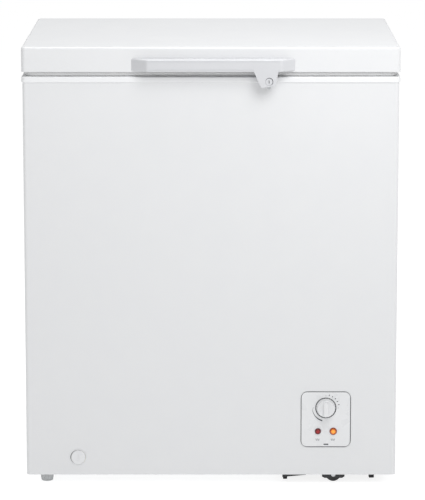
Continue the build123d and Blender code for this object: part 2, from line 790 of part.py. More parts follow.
# ---------------------------------------------------------------- lid
def lid_panel():
    """Steel top with its skirt, and a lip turned in under the liner's edge."""
    shell = lid_form(0, lid_bottom, total_height) - lid_form(gauge, lid_bottom - 1, total_height - gauge)
    lip = post(-lid_side, lid_side, lid_front, lid_back, lid_bottom, lid_bottom + gauge, lid_corner)
    mouth = lid_side - lid_lip
    lip -= post(-mouth, mouth, lid_front + lid_lip, lid_back - lid_lip, 0, total_height, 3)
    shell += lip
    return shell - lid_fixings(screw_bore)


def lid_fixings(radius):
    """Bores for the screws of the handle and of the hinge arms."""
    bores = [rod((x, lid_front - 20, handle_bottom + 8), (x, lid_front + 12, handle_bottom + 8), radius)
             for x in handle_screw_xs]
    for x in hinge_xs.values():
        for dx in (-23, 23):
            for z in (lid_bottom + 10, lid_bottom + 33):
                bores += [rod((x + dx, lid_back - 12, z), (x + dx, lid_back + 20, z), radius)]
    return bores


def plug_form(inset, z0):
    """The part of the lid that fills the mouth of the tub."""
    across = tub_side + ledge - plug_gap - inset
    y0 = tub_front - ledge + plug_gap + inset
    y1 = tub_back + ledge - plug_gap - inset
    form = post(-across, across, y0, y1, z0, lid_bottom + 4, tub_corner - inset)
    return fillet(form.edges().group_by(Axis.Z)[0], 6)


def lid_liner():
    """Vacuum-formed inner skin, with a plug that fills the mouth of the tub."""
    room = gauge + fit
    z0 = lid_bottom + gauge + fit
    plate = post(-lid_side + room, lid_side - room, lid_front + room, lid_back - room, z0, z0 + 2,
                 lid_corner - room)
    skin = plate + (plug_form(0, lid_bottom - plug_drop) & block(-side, side, front, back, 0, z0 + 1))
    return skin - plug_form(2, lid_bottom - plug_drop + 2)


def lid_foam():
    """Insulation of the lid, down into the plug."""
    room = gauge + fit
    z0 = lid_bottom + gauge + 2 + 2 * fit
    foam = lid_form(room, z0, total_height - room)
    foam += plug_form(2 + fit, lid_bottom - plug_drop + 2 + fit)
    return foam - lid_fixings(screw_bore)


def gasket():
    """Magnetic seal round the lid, just clear of the collar."""
    z0, z1 = rim_top + moving_gap, lid_bottom + gauge + fit
    rings = [post(-lid_side + inset, lid_side - inset, lid_front + inset, lid_back - inset, z0, z1, 6)
             for inset in (gasket_set, gasket_set + gasket_width)]
    return rings[0] - rings[1]


# ---------------------------------------------------------------- handle and lock
def handle_outline(inset):
    """Plan of the grip, straight in front with a taper at each end."""
    run_left = inset * taper_left / handle_reach + inset
    run_right = inset * taper_right / handle_reach + inset
    y0, y1 = handle_front + inset, lid_front - inset
    return Polyline((handle_left + run_left, y1), (handle_left + taper_left + inset / 2, y0),
                    (handle_right - taper_right - inset / 2, y0), (handle_right - run_right, y1), close=True)


def handle():
    """Moulded grip, open underneath, with the lock tab hanging from its front."""
    grip = extrude(Pos(0, 0, handle_bottom) * make_face(handle_outline(0)), amount=handle_height)
    corners = grip.edges().filter_by(Axis.Z).group_by(Axis.Y)[0]
    grip = fillet(corners, 9)
    grip = fillet(grip.edges().group_by(Axis.Z)[-1].sort_by(Axis.Y)[0:3], 2.4)
    pocket = extrude(Pos(0, 0, handle_bottom - 1) * make_face(handle_outline(handle_wall)),
                     amount=handle_height + 1 - handle_wall)
    grip -= pocket
    for z in (handle_bottom + 3.2, handle_top - 3.6):
        x0, x1 = handle_left + taper_left + 4, handle_right - taper_right - 4
        grip -= block(x0, x1, handle_front - 1, handle_front + 0.5, z - 0.5, z + 0.5)
    low = lid_bottom - tab_drop
    outline = Polyline((tab_left, handle_bottom + 4), (tab_left, handle_bottom), (tab_left + 14, low),
                       (tab_right - 5, low + 4), (tab_right, handle_bottom), (tab_right, handle_bottom + 4),
                       close=True)
    face = Plane(origin=(0, handle_front + 3.2, 0), x_dir=(1, 0, 0), z_dir=(0, -1, 0))
    tab = extrude(face * make_face(outline), amount=3.2)
    tab = fillet(tab.edges().filter_by(Axis.Y).sort_by(Axis.Z)[0:2], 3)
    grip += tab
    grip += rod((lock_x, handle_front + 3, lock_z), (lock_x, handle_front + 9.5, lock_z), lock_radius + 2)
    grip -= rod((lock_x, handle_front - 1, lock_z), (lock_x, handle_front + 20, lock_z),
                lock_radius + shaft_gap)
    return grip - lid_fixings(screw_bore)[0:2]


def handle_screws():
    """Screws from inside the grip into the lid."""
    screws = []
    for x in handle_screw_xs:
        z = handle_bottom + 8
        head = rod((x, lid_front - handle_wall - 2.2, z), (x, lid_front - handle_wall, z), 3.6)
        screws += [head + rod((x, lid_front - handle_wall - 1, z), (x, lid_front + 10, z), screw_radius)]
    return screws


def lock_cylinder():
    """Round lock barrel with a key slot."""
    barrel = rod((lock_x, handle_front + 0.3, lock_z), (lock_x, handle_front + 15.4, lock_z), lock_radius)
    barrel = chamfer(barrel.edges().group_by(Axis.Y)[0], 0.6)
    return barrel - front_plate(lock_x, lock_z, 1.6, 7, 0.7, handle_front, handle_front + 4)


def lock_cam():
    """Steel bar on the back of the barrel, pointing down when unlocked."""
    y0 = handle_front + 15.4
    middle = lock_z - (cam_reach - cam_width / 2) / 2
    length = cam_reach + cam_width / 2
    return front_plate(lock_x, middle, cam_width, length, cam_width / 2 - 0.01, y0, y0 + 2)


def lock_keeper():
    """Catch on the front of the collar, with the shelf that the turned cam sits under."""
    shelf_left, shelf_right = lock_x - cam_reach - 2, lock_x - lock_radius - 2
    shelf_z = lock_z + cam_width / 2 + 0.6
    keeper = block(shelf_left, shelf_right, lid_front - 1.5, lid_front, rim_bottom + 1, shelf_z + 1.6)
    return keeper + block(shelf_left, shelf_right, lid_front - 12.5, lid_front, shelf_z, shelf_z + 1.6)


# ---------------------------------------------------------------- hinges
def side_face(x):
    """A drawing plane seen from the right, with Y across and Z up."""
    return Plane(origin=(x, 0, 0), x_dir=(0, 1, 0), z_dir=(1, 0, 0))


def hinge_arm(x):
    """Plate on the lid's rear skirt with the lug that turns on the pin and the nose under it."""
    y0 = lid_back
    arm = post(x - 30, x + 30, y0, y0 + 2.5, lid_bottom + 1.5, total_height - 4, 1.2)
    outline = Polyline((y0 + 2.4, lid_bottom + 27), (y0 + 2.4, lid_bottom + 1.5),
                       (pin_y - 0.56 * arm_radius, pin_z - 0.82 * arm_radius),
                       (pin_y + 0.9 * arm_radius, pin_z + 0.43 * arm_radius), close=True)
    lug = extrude(side_face(x - arm_width / 2) * make_face(outline), amount=arm_width)
    low = pin_z - nose_reach + nose_radius
    taper = Polyline((pin_y - arm_radius + 0.6, pin_z - 2), (pin_y - nose_radius, low),
                     (pin_y + nose_radius, low), (pin_y + arm_radius - 0.6, pin_z - 2), close=True)
    lug += extrude(side_face(x - arm_width / 2) * make_face(taper), amount=arm_width)
    lug += rod((x - arm_width / 2, pin_y, pin_z), (x + arm_width / 2, pin_y, pin_z), arm_radius)
    lug += rod((x - arm_width / 2, pin_y, low), (x + arm_width / 2, pin_y, low), nose_radius)
    arm += lug
    arm -= rod((x - 40, pin_y, pin_z), (x + 40, pin_y, pin_z), pin_radius + shaft_gap)
    for bore in lid_fixings(screw_bore)[2:]:
        arm -= bore
    return arm


def arm_screws():
    """Screws of both hinge arms."""
    screws = []
    y0 = lid_back + 2.5
    for x in hinge_xs.values():
        for dx in (-23, 23):
            for z in (lid_bottom + 10, lid_bottom + 33):
                screw = rod((x + dx, lid_back - 10, z), (x + dx, y0 + 1, z), screw_radius)
                screws += [screw + rod((x + dx, y0, z), (x + dx, y0 + 2, z), 3.8)]
    return screws


def cheek_half():
    """Half the width over the outside of a hinge base's cheeks."""
    return arm_width / 2 + cheek_gap + plate_gauge


def hinge_base(x):
    """Spring channel on the back, whose two cheeks carry the pin."""
    half = cheek_half()
    y0 = back + fit
    base = block(x - half, x + half, y0, y0 + plate_gauge, channel_bottom, channel_top)
    outline = Polyline((y0, channel_bottom), (y0, channel_top), (pin_y - lug_radius, channel_top + 3),
                       (pin_y - lug_radius, pin_z), (pin_y + lug_radius, pin_z),
                       (hinge_back, channel_bottom + 12), (hinge_back - 12, channel_bottom), close=True)
    for x0 in (x - half, x + half - plate_gauge):
        base += extrude(side_face(x0) * make_face(outline), amount=plate_gauge)
        base += rod((x0, pin_y, pin_z), (x0 + plate_gauge, pin_y, pin_z), lug_radius)
    base += block(x - half, x + half, y0, hinge_back - 3, channel_bottom + 12, channel_bottom + 14.5)
    base -= rod((x - 40, pin_y, pin_z), (x + 40, pin_y, pin_z), pin_radius)
    for sx, z in rear_screws():
        base -= rod((sx, back - 2, z), (sx, y0 + plate_gauge + 1, z), screw_bore)
    return base


def hinge_pins():
    """Headed pin of each hinge."""
    half = cheek_half()
    pins = []
    for x in hinge_xs.values():
        pin = rod((x - half - 2, pin_y, pin_z), (x + half + 2, pin_y, pin_z), pin_radius)
        for end in (-1, 1):
            inner, outer = x + end * (half + 0.1), x + end * (half + 2)
            pin += rod((inner, pin_y, pin_z), (outer, pin_y, pin_z), pin_radius + 2)
        pins += [pin]
    return pins


def hinge_plunger(x):
    """Follower under the arm's nose, with a stem inside the spring."""
    plunger = rod((x, pin_y, plunger_neck), (x, pin_y, plunger_top), spring_radius + 2)
    plunger = chamfer(plunger.edges().group_by(Axis.Z)[-1], 0.8)
    return plunger + rod((x, pin_y, plunger_neck - 60), (x, pin_y, plunger_neck + 1), spring_radius - 3)


def hinge_spring(x):
    """Coil spring between the channel's tab and the plunger."""
    low = channel_bottom + 14.5 + spring_wire + moving_gap
    length = plunger_neck - spring_wire - moving_gap - low
    path = Pos(x, pin_y, low) * Helix(length / spring_turns, length, spring_radius)
    section = Plane(origin=path @ 0, z_dir=path % 0) * Circle(spring_wire)
    return sweep(section, path=path, is_frenet=True)


def panel_screws():
    """Screws of the hinge bases and of the rear cover."""
    screws = []
    for x, z in rear_screws():
        y0 = back + fit + plate_gauge
        screws += [rod((x, back - 14, z), (x, y0 + 1, z), screw_radius) + rod((x, y0, z), (x, y0 + 1.8, z), 3.6)]
    for x, z in cover_screws():
        y0 = back + fit + 1.2
        screws += [rod((x, back - 0.5, z), (x, y0 + 1, z), screw_radius) + rod((x, y0, z), (x, y0 + 1.8, z), 3.2)]
    return screws


# ---------------------------------------------------------------- basket
def basket():
    """Hanging basket whose rim rests on the ledge at the front and the back of the tub."""
    y0, y1 = tub_front + 8, tub_back - 8
    top = ledge_z + moving_gap
    low = top - basket_height
    outer = post(basket_left, basket_right, y0, y1, low, top + basket_rim, 14)
    inner = post(basket_left + basket_wall, basket_right - basket_wall, y0 + basket_wall, y1 - basket_wall,
                 low + basket_wall, total_height, 10)
    reach = ledge - 1
    rim = post(basket_left, basket_right, tub_front - reach, tub_back + reach, top, top + basket_rim, 10)
    return outer + rim - inner


# ---------------------------------------------------------------- all pieces
pieces = {
    "outer_shell": outer_shell(),
    "rear_panel": rear_panel(),
    "bottom_panel": bottom_panel(),
    "step_panel": step_panel(),
    "body_foam": body_foam(),
    "inner_liner": inner_liner(),
    "top_frame": top_frame(),
    "evaporator_coil": evaporator_coil(),
    "condenser_coil": condenser_coil(),
    "compressor_tray": compressor_tray(),
    "tray_stops": tray_stops(),
    "compressor_shell": compressor_shell(),
    "compressor_cover": compressor_cover(),
    "compressor_grommets": compressor_grommets(),
    "compressor_bolts": compressor_bolts(),
    "discharge_tube": discharge_tube(),
    "suction_tube": suction_tube(),
    "filter_drier": filter_drier(),
    "capillary_tube": capillary_tube(),
    "vent_grille": vent_grille(),
    "rear_cover": rear_cover(),
    "cord_gland": cord_gland(),
    "control_bezel": control_bezel(),
    "thermostat_body": thermostat_body(),
    "thermostat_shaft": thermostat_shaft(),
    "control_knob": control_knob(),
    "red_lamp": lamp(red_x, red_radius),
    "amber_lamp": lamp(amber_x, amber_radius),
    "lamp_holders": lamp_holders(),
    "drain_tube": drain_tube(),
    "drain_escutcheon": drain_escutcheon(),
    "drain_spout": drain_spout(),
    "drain_dial": drain_dial(),
    "drain_plug": drain_plug(),
    "foot_sockets": foot_sockets(),
    "foot_front_left": levelling_foot(foot_ys[0]),
    "foot_rear_left": levelling_foot(foot_ys[1]),
    "roller_brackets": [roller_bracket(y) for y in roller_ys],
    "roller_axles": roller_axles(),
    "roller_wheel_front": roller_wheel(roller_ys[0]),
    "roller_wheel_rear": roller_wheel(roller_ys[1]),
    "lid_panel": lid_panel(),
    "lid_foam": lid_foam(),
    "lid_liner": lid_liner(),
    "gasket": gasket(),
    "handle": handle(),
    "lid_screws": handle_screws() + arm_screws(),
    "lock_cylinder": lock_cylinder(),
    "lock_cam": lock_cam(),
    "lock_keeper": lock_keeper(),
    "hinge_pins": hinge_pins(),
    "hinge_springs": [hinge_spring(x) for x in hinge_xs.values()],
    "panel_screws": panel_screws(),
    "basket": basket(),
}
for hand, hinge_place in hinge_xs.items():
    pieces[f"hinge_arm_{hand}"] = hinge_arm(hinge_place)
    pieces[f"hinge_base_{hand}"] = hinge_base(hinge_place)
    pieces[f"hinge_plunger_{hand}"] = hinge_plunger(hinge_place)

os.makedirs("parts", exist_ok=True)
for name, piece in pieces.items():
    shape = Compound(children=piece) if isinstance(piece, list) else piece
    export_step(shape, f"parts/{name}.step")
print(len(pieces), "pieces")
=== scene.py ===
from math import radians

import bpy
import numpy as np
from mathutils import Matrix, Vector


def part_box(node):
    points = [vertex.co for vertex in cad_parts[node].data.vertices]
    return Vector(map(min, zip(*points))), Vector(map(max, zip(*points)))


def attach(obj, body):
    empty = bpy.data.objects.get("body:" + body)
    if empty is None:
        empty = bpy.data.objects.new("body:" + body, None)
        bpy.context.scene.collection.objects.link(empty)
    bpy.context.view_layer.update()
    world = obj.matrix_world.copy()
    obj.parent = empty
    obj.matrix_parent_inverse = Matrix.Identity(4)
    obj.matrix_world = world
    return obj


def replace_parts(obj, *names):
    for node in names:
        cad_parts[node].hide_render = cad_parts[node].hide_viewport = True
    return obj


# A small white chest freezer. Each section holds one piece, or a group of like pieces.
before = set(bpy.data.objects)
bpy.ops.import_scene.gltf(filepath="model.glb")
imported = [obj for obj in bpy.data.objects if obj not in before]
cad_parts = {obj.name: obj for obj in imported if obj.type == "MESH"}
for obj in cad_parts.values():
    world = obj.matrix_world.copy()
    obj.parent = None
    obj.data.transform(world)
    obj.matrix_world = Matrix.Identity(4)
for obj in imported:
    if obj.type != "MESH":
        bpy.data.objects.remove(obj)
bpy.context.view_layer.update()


# ---- Outer shell and lid skin -------------------------------------------------------------
# Steel sheet of 0.8 mm, painted white on a coil line before it is bent. The paint is smooth and
# fairly glossy, with a fine orange peel, and the wide flat sheet is never quite flat.
def linear(colour):
    """Linear colour of an sRGB hex value: c / 12.92 when dark, else ((c + 0.055) / 1.055) ** 2.4."""
    parts = [int(colour[i:i + 2], 16) / 255 for i in (1, 3, 5)]
    return tuple(c / 12.92 if c <= 0.04045 else ((c + 0.055) / 1.055) ** 2.4 for c in parts) + (1.0,)


def add(material, kind, **settings):
    """Adds one node. A setting is one of its properties, or an input by its name or its place, as in0.

    A setting that is a socket is linked, and a node stands for its first output.
    """
    node = material.node_tree.nodes.new("ShaderNode" + kind)
    for key, value in settings.items():
        if hasattr(node, key):
            setattr(node, key, value)
            continue
        target = node.inputs[int(key[2:]) if key[2:].isdigit() else key.replace("_", " ")]
        if isinstance(value, bpy.types.Node):
            value = value.outputs[0]
        if isinstance(value, bpy.types.NodeSocket):
            material.node_tree.links.new(value, target)
        else:
            target.default_value = value
    return node


def new_finish(name):
    """An empty material, and the object's own coordinates in metres to draw its patterns on."""
    material = bpy.data.materials.new(name)
    material.use_nodes = True
    material.node_tree.nodes.clear()
    return material, add(material, "TexCoord").outputs["Object"]


def coat(finish, names):
    """Gives CAD nodes a finish."""
    for name in names:
        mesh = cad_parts[name].data
        mesh.materials.clear()
        mesh.materials.append(finish)


peel_size = 0.0016
sheet_wave = 0.16
painted_steel, place = new_finish("white coil-coated steel")
# The peel is two sizes of soft dimple; the waves lie in the sheet itself and only bend reflections.
peel = add(painted_steel, "TexNoise", Vector=place, Scale=1 / peel_size, Detail=2.0, Roughness=0.45)
wave = add(painted_steel, "TexNoise", Vector=place, Scale=1 / sheet_wave, Detail=1.0, Roughness=0.4)
film = add(painted_steel, "TexNoise", Vector=place, Scale=22.0, Detail=4.0, Roughness=0.6)
bent = add(painted_steel, "Bump", Strength=0.35, Distance=0.0006, Height=wave)
dimpled = add(painted_steel, "Bump", Strength=0.22, Distance=0.00005, Height=peel, Normal=bent)
tint = add(painted_steel, "Mix", data_type="RGBA", in0=film, in6=linear("#DDDEE0"), in7=linear("#E0E1E2"))
sheen = add(painted_steel, "MapRange", Value=film, To_Min=0.30, To_Max=0.38)
shader = add(painted_steel, "BsdfPrincipled", Base_Color=tint.outputs[2], Roughness=sheen, Normal=dimpled,
             IOR=1.48)
add(painted_steel, "OutputMaterial", Surface=shader)
coat(painted_steel, ["outer_shell", "lid_panel"])


# ---- Back sheet ---------------------------------------------------------------------------
# Thinner grey-primed steel with pressed beads. The primer is rolled on in one direction, which
# leaves faint upright bands, and it is duller than the white paint of the front.
roller_band = 0.03
primed_steel, place = new_finish("grey roller-primed steel")
along = add(primed_steel, "Mapping", Vector=place, Scale=(1 / roller_band, 1.0, 1.6))
band = add(primed_steel, "TexNoise", Vector=along, Scale=1.0, Detail=5.0, Roughness=0.65)
grain = add(primed_steel, "TexNoise", Vector=place, Scale=900.0, Detail=2.0)
tint = add(primed_steel, "Mix", data_type="RGBA", in0=band, in6=linear("#C4C6C8"), in7=linear("#D2D3D4"))
sheen = add(primed_steel, "MapRange", Value=band, To_Min=0.42, To_Max=0.58)
rough = add(primed_steel, "Bump", Strength=0.25, Distance=0.00004, Height=grain)
shader = add(primed_steel, "BsdfPrincipled", Base_Color=tint.outputs[2], Roughness=sheen, Normal=rough)
add(primed_steel, "OutputMaterial", Surface=shader)
coat(primed_steel, ["rear_panel"])


# ---- Galvanised base sheets ---------------------------------------------------------------
# Hot-dipped sheet under the foam and round the compressor bay. The zinc froze into spangles some
# 9 mm across, each a slightly different grey and gloss.
spangle = 0.009
galvanised, place = new_finish("hot-dip galvanised steel")
wander = add(galvanised, "TexNoise", Vector=place, Scale=160.0, Detail=3.0)
strayed = add(galvanised, "Mix", data_type="VECTOR", in0=0.012, in4=place, in5=wander.outputs["Color"])
flake = add(galvanised, "TexVoronoi", Vector=strayed.outputs[1], Scale=1 / spangle)
shade = add(galvanised, "SeparateColor", Color=flake.outputs["Color"])
tint = add(galvanised, "Mix", data_type="RGBA", in0=shade, in6=linear("#9FA3A6"), in7=linear("#C3C6C8"))
sheen = add(galvanised, "MapRange", Value=shade.outputs[1], To_Min=0.32, To_Max=0.55)
shader = add(galvanised, "BsdfPrincipled", Base_Color=tint.outputs[2], Metallic=1.0, Roughness=sheen)
add(galvanised, "OutputMaterial", Surface=shader)
coat(galvanised, ["bottom_panel", "step_panel", "foot_sockets"])


# ---- Insulation ---------------------------------------------------------------------------
# Polyurethane foamed in place between shell and tub. It shows only inside the walls: cream, matte,
# with cells under a millimetre and a few larger voids.
foamed, place = new_finish("rigid polyurethane foam")
cell = add(foamed, "TexVoronoi", Vector=place, Scale=1 / 0.0011, feature="SMOOTH_F1")
void = add(foamed, "TexNoise", Vector=place, Scale=70.0, Detail=3.0)
tint = add(foamed, "Mix", data_type="RGBA", in0=void, in6=linear("#E3D29C"), in7=linear("#F0E6C4"))
pitted = add(foamed, "Bump", Strength=0.7, Distance=0.0004, Height=cell)
shader = add(foamed, "BsdfPrincipled", Base_Color=tint.outputs[2], Roughness=0.92, Normal=pitted)
add(foamed, "OutputMaterial", Surface=shader)
coat(foamed, ["body_foam", "lid_foam"])


# ---- Tub ----------------------------------------------------------------------------------
# Aluminium sheet rolled with a stucco pattern of soft pebbles about 6 mm across, then folded into
# the tub. The pattern stiffens the sheet and scatters its reflections.
pebble = 0.0062
stucco, place = new_finish("stucco-embossed aluminium")
cells = add(stucco, "TexVoronoi", Vector=place, Scale=1 / pebble, feature="SMOOTH_F1", Smoothness=0.6,
            Randomness=1.0)
cloud = add(stucco, "TexNoise", Vector=place, Scale=12.0, Detail=4.0)
tint = add(stucco, "Mix", data_type="RGBA", in0=cloud, in6=linear("#C6C9CC"), in7=linear("#DADCDE"))
sheen = add(stucco, "MapRange", Value=cloud, To_Min=0.30, To_Max=0.42)
embossed = add(stucco, "Bump", Strength=0.55, Distance=0.0006, Height=cells)
shader = add(stucco, "BsdfPrincipled", Base_Color=tint.outputs[2], Metallic=1.0, Roughness=sheen,
             Normal=embossed)
add(stucco, "OutputMaterial", Surface=shader)
coat(stucco, ["inner_liner"])


# ---- Collar and lid liner -----------------------------------------------------------------
# White polystyrene. The collar is injection moulded with a fine spark-eroded grain, and the lid's
# inner skin is vacuum formed from sheet, so it is smoother and a little warmer.
collar_grain = 0.0007
moulded_collar, place = new_finish("white moulded polystyrene")
grain = add(moulded_collar, "TexNoise", Vector=place, Scale=1 / collar_grain, Detail=3.0, Roughness=0.6)
flow = add(moulded_collar, "TexNoise", Vector=place, Scale=9.0, Detail=2.0)
tint = add(moulded_collar, "Mix", data_type="RGBA", in0=flow, in6=linear("#E4E5E7"), in7=linear("#E9EAEB"))
sheen = add(moulded_collar, "MapRange", Value=grain, To_Min=0.40, To_Max=0.52)
eroded = add(moulded_collar, "Bump", Strength=0.3, Distance=0.00005, Height=grain)
shader = add(moulded_collar, "BsdfPrincipled", Base_Color=tint.outputs[2], Roughness=sheen, Normal=eroded,
             IOR=1.59)
add(moulded_collar, "OutputMaterial", Surface=shader)
coat(moulded_collar, ["top_frame"])

formed_liner, place = new_finish("vacuum-formed white polystyrene")
drawn = add(formed_liner, "TexNoise", Vector=place, Scale=30.0, Detail=2.0, Roughness=0.4)
speck = add(formed_liner, "TexNoise", Vector=place, Scale=700.0, Detail=2.0)
tint = add(formed_liner, "Mix", data_type="RGBA", in0=drawn, in6=linear("#E8E7E3"), in7=linear("#EEEDEA"))
sheen = add(formed_liner, "MapRange", Value=drawn, To_Min=0.28, To_Max=0.40)
drawn_skin = add(formed_liner, "Bump", Strength=0.3, Distance=0.0003, Height=drawn)
fine_skin = add(formed_liner, "Bump", Strength=0.2, Distance=0.00004, Height=speck, Normal=drawn_skin)
shader = add(formed_liner, "BsdfPrincipled", Base_Color=tint.outputs[2], Roughness=sheen, Normal=fine_skin,
             IOR=1.59, Subsurface_Weight=0.04, Subsurface_Radius=(0.002, 0.002, 0.0018))
add(formed_liner, "OutputMaterial", Surface=shader)
coat(formed_liner, ["lid_liner"])


# ---- Handle and lock ----------------------------------------------------------------------
# Pale grey ABS moulding screwed to the lid's front, with a fine matte texture from the mould. The
# lock barrel in its tab is the same plastic, and its edge is picked out by a painted shadow in its gap.
mould_grain = 0.0009
grey_abs, place = new_finish("pale grey textured ABS")
grain = add(grey_abs, "TexVoronoi", Vector=place, Scale=1 / mould_grain, feature="SMOOTH_F1", Smoothness=0.8)
flow = add(grey_abs, "TexNoise", Vector=place, Scale=14.0, Detail=3.0)
tint = add(grey_abs, "Mix", data_type="RGBA", in0=flow, in6=linear("#C8C9CC"), in7=linear("#CECFD2"))
sheen = add(grey_abs, "MapRange", Value=grain, To_Min=0.44, To_Max=0.54)
textured = add(grey_abs, "Bump", Strength=0.3, Distance=0.00006, Height=grain)
shader = add(grey_abs, "BsdfPrincipled", Base_Color=tint.outputs[2], Roughness=sheen, Normal=textured,
             IOR=1.52)
add(grey_abs, "OutputMaterial", Surface=shader)
coat(grey_abs, ["handle", "lock_cylinder"])


def skin(points, round_rows=False, round_columns=False, ends=False, facing=None):
    """Joins a grid of points (rows, columns, 3) to its neighbours with four-sided faces.

    round_rows and round_columns close the grid on itself, and ends closes its first and last row.
    The faces look outwards: they are turned over if the sum of face centre times face area is
    negative, or, on an open sheet, if they look away from facing.
    """
    rows, columns = points.shape[:2]
    index = np.arange(rows * columns).reshape(rows, columns)
    first, last = index[0], index[-1][::-1]
    if round_rows:
        index = np.vstack([index, index[:1]])
    if round_columns:
        index = np.hstack([index, index[:, :1]])
    corners = (index[:-1, :-1], index[1:, :-1], index[1:, 1:], index[:-1, 1:])
    faces = np.stack([c.ravel() for c in corners], axis=1)
    flat = points.reshape(-1, 3)
    p = flat[faces]
    area = np.cross(p[:, 2] - p[:, 0], p[:, 3] - p[:, 1])
    if facing is None:
        outward = ((p.mean(axis=1) - flat.mean(axis=0)) * area).sum()
    else:
        outward = (area @ np.array(facing)).sum()
    faces = faces.tolist() + ([first.tolist(), last.tolist()] if ends else [])
    return flat, [face[::-1] for face in faces] if outward < 0 else faces


def piece(name, skins, finish, body, crease=40.0):
    """One object from several skins, smooth up to a crease angle in degrees, that rides on a body."""
    points, faces, start = [], [], 0
    for flat, joined in skins:
        points.append(flat)
        faces += [[start + i for i in face] for face in joined]
        start += len(flat)
    mesh = bpy.data.meshes.new(name)
    mesh.from_pydata(np.vstack(points), [], faces)
    mesh.polygons.foreach_set("use_smooth", [True] * len(faces))
    mesh.set_sharp_from_angle(angle=radians(crease))
    mesh.materials.append(finish)
    made = bpy.data.objects.new(name, mesh)
    bpy.context.scene.collection.objects.link(made)
    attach(made, body)
    return made


def turned(profile, centre, steps=40):
    """Turns a profile of (radius, forward) about an axis that points to the front.

    Each point goes to centre + (radius cos a, -forward, radius sin a), with a round the axis.
    """
    a = np.linspace(0, 2 * np.pi, steps, endpoint=False)
    radius, forward = np.array(profile, float).T[:, :, None]
    x, z = radius * np.cos(a), radius * np.sin(a)
    return np.stack([x, -forward + 0 * x, z], axis=-1) + np.array(centre)


# Dark sheets laid in narrow gaps as painted shadow, where the real gaps would fall into shade.
gap_shadow_paint, place = new_finish("painted gap shadow")
speck = add(gap_shadow_paint, "TexNoise", Vector=place, Scale=800.0, Detail=2.0)
tint = add(gap_shadow_paint, "Mix", data_type="RGBA", in0=speck, in6=linear("#3A3C40"), in7=linear("#4A4C50"))
shader = add(gap_shadow_paint, "BsdfPrincipled", Base_Color=tint.outputs[2], Roughness=0.6)
add(gap_shadow_paint, "OutputMaterial", Surface=shader)
lock_low, lock_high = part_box("lock_cylinder")
lock_centre = np.array([(lock_low.x + lock_high.x) / 2, lock_low.y, (lock_low.z + lock_high.z) / 2])
barrel = (lock_high.x - lock_low.x) / 2
# A painted shadow in the gap at the barrel's rim, dark on the upper right and gone at the lower left.
lock_shadow_width = 0.00085
a = np.radians(np.linspace(-60, 150, 40))
swell = 0.00025 + lock_shadow_width * np.sin((a - a[0]) / (a[-1] - a[0]) * np.pi)
ring = np.stack([np.full_like(a, barrel), barrel + swell], axis=0)
front_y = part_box("handle")[0].y - 0.00003
crescent = np.stack([lock_centre[0] + ring * np.cos(a), np.full_like(ring, front_y),
                     lock_centre[2] + ring * np.sin(a)], axis=-1)
piece("lock_painted_shadow", [skin(crescent, facing=(0, -1, 0))], gap_shadow_paint, "lid")


# ---- Gasket -------------------------------------------------------------------------------
# Soft white PVC extrusion with a magnet strip in its flat foot and two folds above it, mitred and
# welded into a ring. It is pushed into the lid and the magnet pulls it down onto the collar.
gasket_low, gasket_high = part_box("gasket")
ring_width = 0.014
tall = gasket_high.z - gasket_low.z
fold = np.array([
    (0.0026, 0.0), (0.0114, 0.0), (0.0118, 0.0010), (0.0136, 0.0016), (0.0140, 0.0026), (0.0138, 0.0038),
    (0.0130, 0.0046), (0.0138, 0.0054), (0.0140, 0.0066), (0.0134, 0.0078), (0.0112, 0.0084), (0.0112, tall),
    (0.0028, tall), (0.0028, 0.0084), (0.0006, 0.0078), (0.0, 0.0066), (0.0002, 0.0054), (0.0010, 0.0046),
    (0.0002, 0.0038), (0.0, 0.0026), (0.0004, 0.0016), (0.0022, 0.0010),
])


def ring_round(profile, low, high, inset, corner, steps=7):
    """Carries a profile of (outwards, up) round a rectangle with rounded corners.

    With each corner's centre c and n the unit vector at angle a, a point is c + (corner + outwards) n.
    """
    a = np.radians(np.linspace(0, 90, steps))
    a = np.concatenate([a, a + np.pi / 2, a + np.pi, a + 1.5 * np.pi])
    n = np.stack([np.cos(a), np.sin(a)], axis=1)
    half = (np.array(high)[:2] - np.array(low)[:2]) / 2 - inset - corner
    middle = (np.array(high)[:2] + np.array(low)[:2]) / 2
    turn = np.repeat(np.array([(1, 1), (-1, 1), (-1, -1), (1, -1)]), steps, axis=0)
    core = middle + half * turn
    flat = core[:, None] + n[:, None] * (corner + profile[None, :, :1])
    up = low[2] + np.broadcast_to(profile[None, :, 1:], flat.shape[:2] + (1,))
    return np.concatenate([flat, up], axis=2)


gasket_pvc, place = new_finish("soft white PVC")
bloom = add(gasket_pvc, "TexNoise", Vector=place, Scale=60.0, Detail=3.0)
drag = add(gasket_pvc, "TexNoise", Vector=place, Scale=500.0, Detail=2.0)
tint = add(gasket_pvc, "Mix", data_type="RGBA", in0=bloom, in6=linear("#D8D9DA"), in7=linear("#E2E2E2"))
sheen = add(gasket_pvc, "MapRange", Value=bloom, To_Min=0.45, To_Max=0.6)
dragged = add(gasket_pvc, "Bump", Strength=0.25, Distance=0.00008, Height=drag)
shader = add(gasket_pvc, "BsdfPrincipled", Base_Color=tint.outputs[2], Roughness=sheen, Normal=dragged,
             Subsurface_Weight=0.08, Subsurface_Radius=(0.003, 0.003, 0.003))
add(gasket_pvc, "OutputMaterial", Surface=shader)
bellows = ring_round(fold, gasket_low, gasket_high, ring_width, 0.002)
bellows = piece("gasket_bellows", [skin(bellows, round_rows=True, round_columns=True)], gasket_pvc, "lid",
                crease=60.0)
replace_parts(bellows, "gasket")


